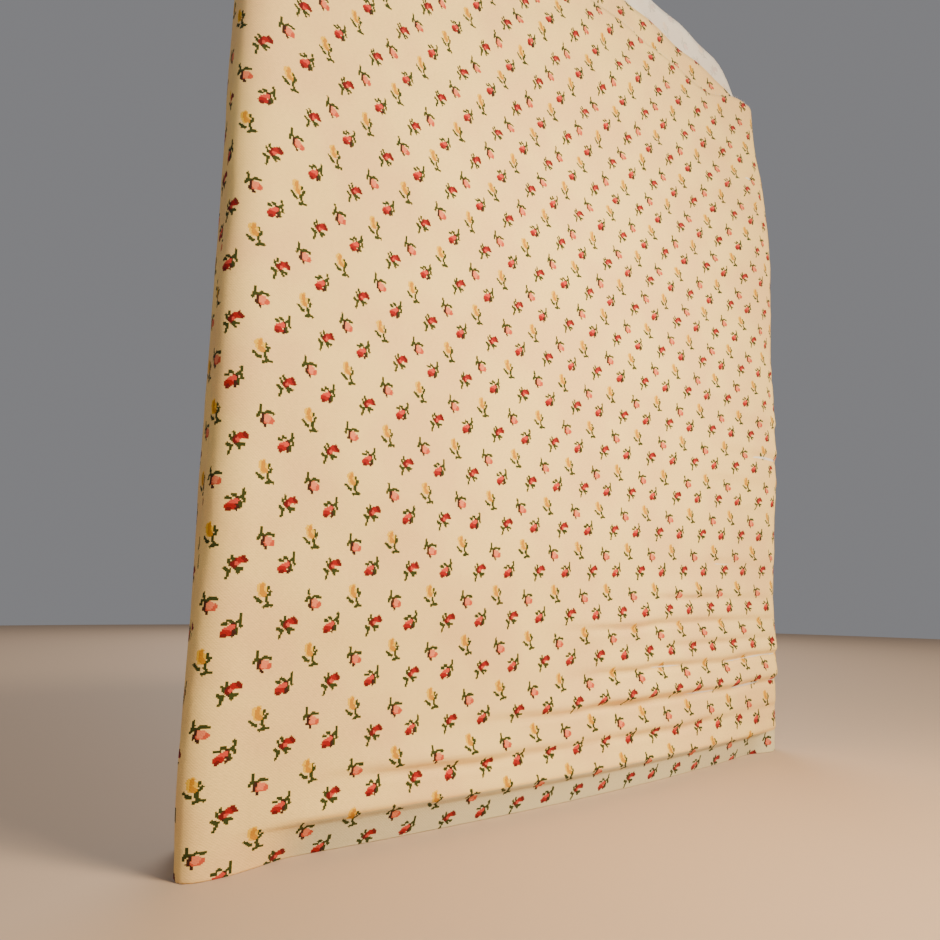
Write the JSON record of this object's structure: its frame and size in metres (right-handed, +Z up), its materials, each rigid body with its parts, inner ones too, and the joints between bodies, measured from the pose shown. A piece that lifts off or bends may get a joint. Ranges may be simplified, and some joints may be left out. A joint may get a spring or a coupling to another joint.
{
  "type": "fabric bolt",
  "caption": "Flat-fold fabric bolt standing on end: doubled floral print cotton wound on a folded paperboard core, with tuck-flap ends, a loose tail on the back and T-pins.",
  "frame": {"origin": "centre of the bounding box's base, on the surface that the bolt stands on", "axes": "+Z up along the height of the cloth, -Y out of the printed front face, +X to the right of the front face"},
  "size_m": [0.2902, 0.0366, 0.36],
  "materials": {
    "printed_cloth": "fine cotton print, right side",
    "cloth_reverse": "fine cotton print, wrong side",
    "paperboard": "unbleached paperboard",
    "insert_board": "unbleached paperboard, scored and folded",
    "label_paper": "blank paper label",
    "tape_paper": "paper tape",
    "pin_steel": "nickel-plated steel wire"
  },
  "bodies": {
    "wound_bolt": {"core_tube": "paperboard", "core_stiffener": "insert_board", "start_tape_bottom": "tape_paper", "start_tape_middle": "tape_paper", "start_tape_top": "tape_paper", "inner_turns": "cloth_reverse", "second_turn_reverse_ply": "cloth_reverse", "second_turn_printed_ply": "printed_cloth", "outer_turn_reverse_ply": "cloth_reverse", "outer_turn_printed_ply": "printed_cloth"},
    "top_closure": {"closure_flap_top": "paperboard", "end_label": "label_paper"},
    "top_tongue": {"tuck_tongue_top": "paperboard"},
    "top_left_dust_flap": {"dust_flap_top_left": "paperboard"},
    "top_right_dust_flap": {"dust_flap_top_right": "paperboard"},
    "bottom_closure": {"closure_flap_bottom": "paperboard"},
    "bottom_tongue": {"tuck_tongue_bottom": "paperboard"},
    "bottom_left_dust_flap": {"dust_flap_bottom_left": "paperboard"},
    "bottom_right_dust_flap": {"dust_flap_bottom_right": "paperboard"},
    "tail": {"tail_reverse_ply": "cloth_reverse", "tail_printed_ply": "printed_cloth"},
    "bottom_pin": {"tail_pin_bottom": "pin_steel"},
    "middle_pin": {"tail_pin_middle": "pin_steel"},
    "top_pin": {"tail_pin_top": "pin_steel"}
  },
  "joints": [
    {"name": "top_closure_hinge", "type": "hinge", "parent": "wound_bolt", "child": "top_closure", "pos_m": [0, 0.00455, 0.3255], "axis": [-1, 0, 0], "range_deg": [0, 90]},
    {"name": "top_tongue_crease", "type": "hinge", "parent": "top_closure", "child": "top_tongue", "pos_m": [0, -0.00545, 0.32415], "axis": [1, 0, 0], "range_deg": [0, 72]},
    {"name": "top_left_dust_flap_crease", "type": "hinge", "parent": "wound_bolt", "child": "top_left_dust_flap", "pos_m": [-0.132, -0.00165, 0.3232], "axis": [0, 1, 0], "range_deg": [0, 85]},
    {"name": "top_right_dust_flap_crease", "type": "hinge", "parent": "wound_bolt", "child": "top_right_dust_flap", "pos_m": [0.1308, -0.00165, 0.3232], "axis": [0, -1, 0], "range_deg": [0, 85]},
    {"name": "bottom_closure_hinge", "type": "hinge", "parent": "wound_bolt", "child": "bottom_closure", "pos_m": [0, 0.00455, 0.0145], "axis": [1, 0, 0], "range_deg": [0, 90]},
    {"name": "bottom_tongue_crease", "type": "hinge", "parent": "bottom_closure", "child": "bottom_tongue", "pos_m": [0, -0.00545, 0.01585], "axis": [-1, 0, 0], "range_deg": [0, 72]},
    {"name": "bottom_left_dust_flap_crease", "type": "hinge", "parent": "wound_bolt", "child": "bottom_left_dust_flap", "pos_m": [-0.132, -0.00165, 0.0168], "axis": [0, -1, 0], "range_deg": [0, 85]},
    {"name": "bottom_right_dust_flap_crease", "type": "hinge", "parent": "wound_bolt", "child": "bottom_right_dust_flap", "pos_m": [0.1308, -0.00165, 0.0168], "axis": [0, 1, 0], "range_deg": [0, 85]},
    {"name": "tail_unfold", "type": "hinge", "parent": "wound_bolt", "child": "tail", "pos_m": [0.1298, 0.0155, 0.17], "axis": [0, 0, -1], "range_deg": [0, 100]},
    {"name": "bottom_pin_slide", "type": "slide", "parent": "tail", "child": "bottom_pin", "axis": [0.9976, 0.0698, 0], "range_m": [0, 0.04]},
    {"name": "middle_pin_slide", "type": "slide", "parent": "tail", "child": "middle_pin", "axis": [0.9976, 0.0698, 0], "range_m": [0, 0.04]},
    {"name": "top_pin_slide", "type": "slide", "parent": "tail", "child": "top_pin", "axis": [0.9976, 0.0698, 0], "range_m": [0, 0.04]}
  ],
  "couplings": [
    {"joint": "top_tongue_crease", "follows": "top_closure_hinge", "ratio": 0.8},
    {"joint": "bottom_tongue_crease", "follows": "bottom_closure_hinge", "ratio": 0.8}
  ]
}
